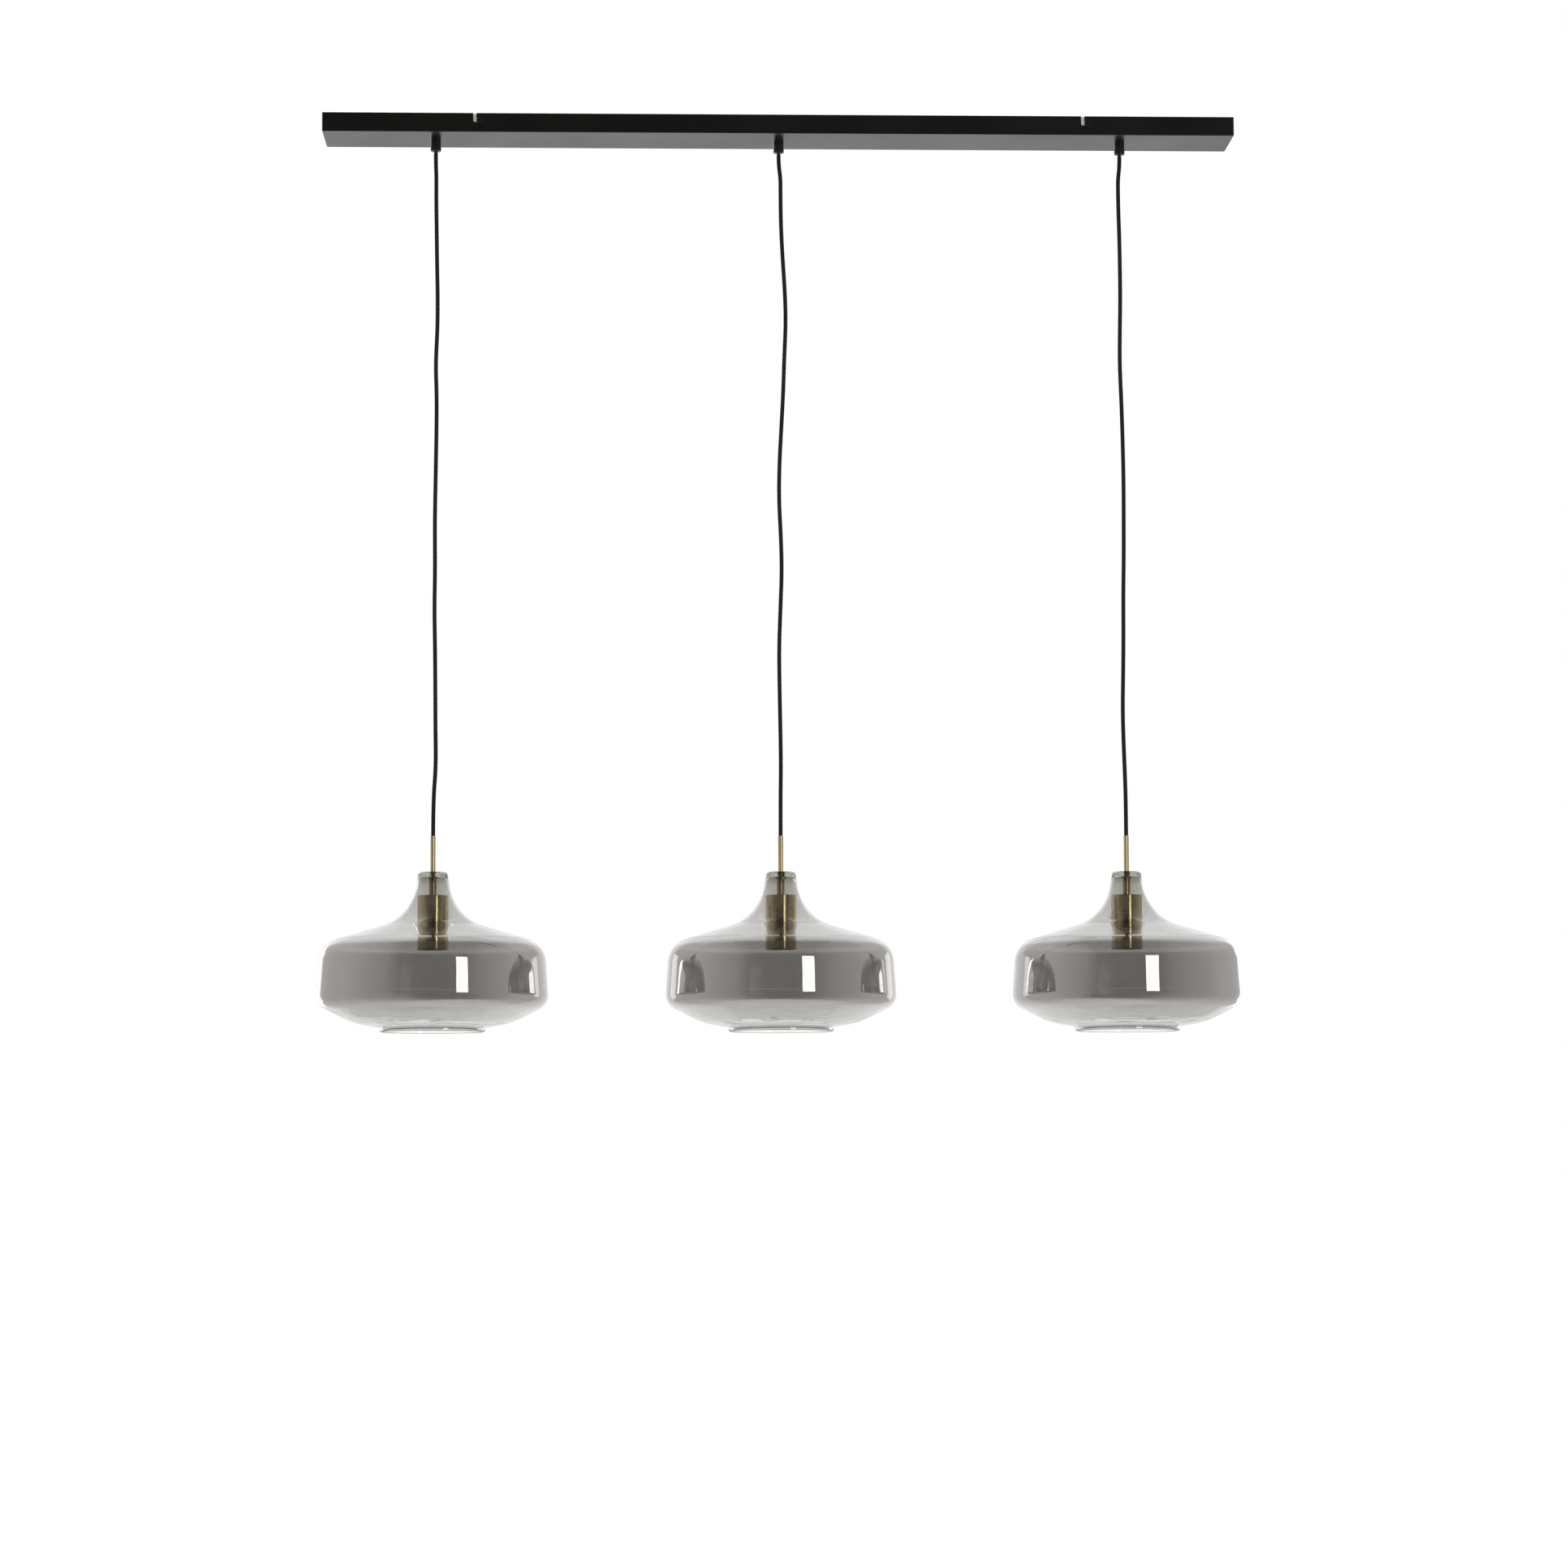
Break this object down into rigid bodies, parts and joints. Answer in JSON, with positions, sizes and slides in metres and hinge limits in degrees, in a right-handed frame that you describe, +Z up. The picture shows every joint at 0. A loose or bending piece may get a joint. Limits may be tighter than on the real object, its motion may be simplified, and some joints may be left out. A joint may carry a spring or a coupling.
{
  "type": "bar pendant light",
  "caption": "Linear ceiling pendant: black bar canopy with textile cords in adjustable grips, each carrying a brass stem, an E27 lampholder cup and a wide smoked glass shade.",
  "frame": {"origin": "on the ceiling, at the middle of the four bracket slots", "axes": "+X along the bar to the right as seen from the front, +Z up into the ceiling, -Y to the front"},
  "size_m": [1.2062, 0.3001, 1.2034],
  "materials": {
    "bar_paint": "satin black powder coat",
    "screw_black": "black oxide, satin",
    "zinc": "zinc plated, dull",
    "black_plastic": "satin black moulded",
    "terminal_plastic": "white polyamide, matt",
    "textile_cord": "black woven textile over a round cable",
    "earth_wire": "green and yellow insulation",
    "brass": "polished antique brass",
    "plated_shell": "nickel plated",
    "silicone": "translucent silicone, satin",
    "smoked_glass": "smoked, half mirrored, glossy",
    "porcelain": "glazed white porcelain"
  },
  "bodies": {
    "canopy": {"canopy": "bar_paint", "bracket_left": "zinc", "bracket_right": "zinc", "canopy_side_screws": "screw_black", "terminal_block": "terminal_plastic", "terminal_screws": "zinc", "earth_nut": "zinc", "earth_lead": "earth_wire", "grip_nuts": "black_plastic", "grip_body_left": "black_plastic", "inner_cord_left": "textile_cord", "grip_body_middle": "black_plastic", "inner_cord_middle": "textile_cord", "grip_body_right": "black_plastic", "inner_cord_right": "textile_cord"},
    "cap_left": {"grip_cap_left": "black_plastic"},
    "cord_bend_left": {"cord_top_left": "textile_cord"},
    "cord_left": {"cord_left": "textile_cord"},
    "lamp_left": {"stem_tube_left": "brass", "cord_tail_left": "textile_cord", "sleeve_left": "brass", "glass_gasket_left": "silicone", "glass_shade_left": "smoked_glass", "holder_cup_left": "brass", "cup_nut_left": "brass", "lampholder_left": "black_plastic", "contact_insert_left": "porcelain", "screw_shell_left": "plated_shell", "centre_contact_left": "brass"},
    "cap_middle": {"grip_cap_middle": "black_plastic"},
    "cord_bend_middle": {"cord_top_middle": "textile_cord"},
    "cord_middle": {"cord_middle": "textile_cord"},
    "lamp_middle": {"stem_tube_middle": "brass", "cord_tail_middle": "textile_cord", "sleeve_middle": "brass", "glass_gasket_middle": "silicone", "glass_shade_middle": "smoked_glass", "holder_cup_middle": "brass", "cup_nut_middle": "brass", "lampholder_middle": "black_plastic", "contact_insert_middle": "porcelain", "screw_shell_middle": "plated_shell", "centre_contact_middle": "brass"},
    "cap_right": {"grip_cap_right": "black_plastic"},
    "cord_bend_right": {"cord_top_right": "textile_cord"},
    "cord_right": {"cord_right": "textile_cord"},
    "lamp_right": {"stem_tube_right": "brass", "cord_tail_right": "textile_cord", "sleeve_right": "brass", "glass_gasket_right": "silicone", "glass_shade_right": "smoked_glass", "holder_cup_right": "brass", "cup_nut_right": "brass", "lampholder_right": "black_plastic", "contact_insert_right": "porcelain", "screw_shell_right": "plated_shell", "centre_contact_right": "brass"}
  },
  "joints": [
    {"name": "grip_left", "type": "hinge", "parent": "canopy", "child": "cap_left", "pos_m": [-0.453, 0, -0.035], "axis": [0, 0, 1], "range_deg": [-270, 0]},
    {"name": "sway_left", "type": "hinge", "parent": "canopy", "child": "cord_bend_left", "pos_m": [-0.453, 0, -0.0444], "axis": [0, -1, 0], "range_deg": [-25, 6]},
    {"name": "swing_left", "type": "hinge", "parent": "cord_bend_left", "child": "cord_left", "pos_m": [-0.453, 0, -0.0844], "axis": [1, 0, 0], "range_deg": [-25, 25]},
    {"name": "height_left", "type": "slide", "parent": "cord_left", "child": "lamp_left", "axis": [0, 0, 1], "range_m": [0, 0.6], "deforming": ["cord_left"]},
    {"name": "grip_middle", "type": "hinge", "parent": "canopy", "child": "cap_middle", "pos_m": [0, 0, -0.035], "axis": [0, 0, 1], "range_deg": [-270, 0]},
    {"name": "sway_middle", "type": "hinge", "parent": "canopy", "child": "cord_bend_middle", "pos_m": [0, 0, -0.0444], "axis": [0, -1, 0], "range_deg": [-6, 6]},
    {"name": "swing_middle", "type": "hinge", "parent": "cord_bend_middle", "child": "cord_middle", "pos_m": [0, 0, -0.0844], "axis": [1, 0, 0], "range_deg": [-25, 25]},
    {"name": "height_middle", "type": "slide", "parent": "cord_middle", "child": "lamp_middle", "axis": [0, 0, 1], "range_m": [0, 0.6], "deforming": ["cord_middle"]},
    {"name": "grip_right", "type": "hinge", "parent": "canopy", "child": "cap_right", "pos_m": [0.453, 0, -0.035], "axis": [0, 0, 1], "range_deg": [-270, 0]},
    {"name": "sway_right", "type": "hinge", "parent": "canopy", "child": "cord_bend_right", "pos_m": [0.453, 0, -0.0444], "axis": [0, -1, 0], "range_deg": [-6, 25]},
    {"name": "swing_right", "type": "hinge", "parent": "cord_bend_right", "child": "cord_right", "pos_m": [0.453, 0, -0.0844], "axis": [1, 0, 0], "range_deg": [-25, 25]},
    {"name": "height_right", "type": "slide", "parent": "cord_right", "child": "lamp_right", "axis": [0, 0, 1], "range_m": [0, 0.6], "deforming": ["cord_right"]}
  ]
}
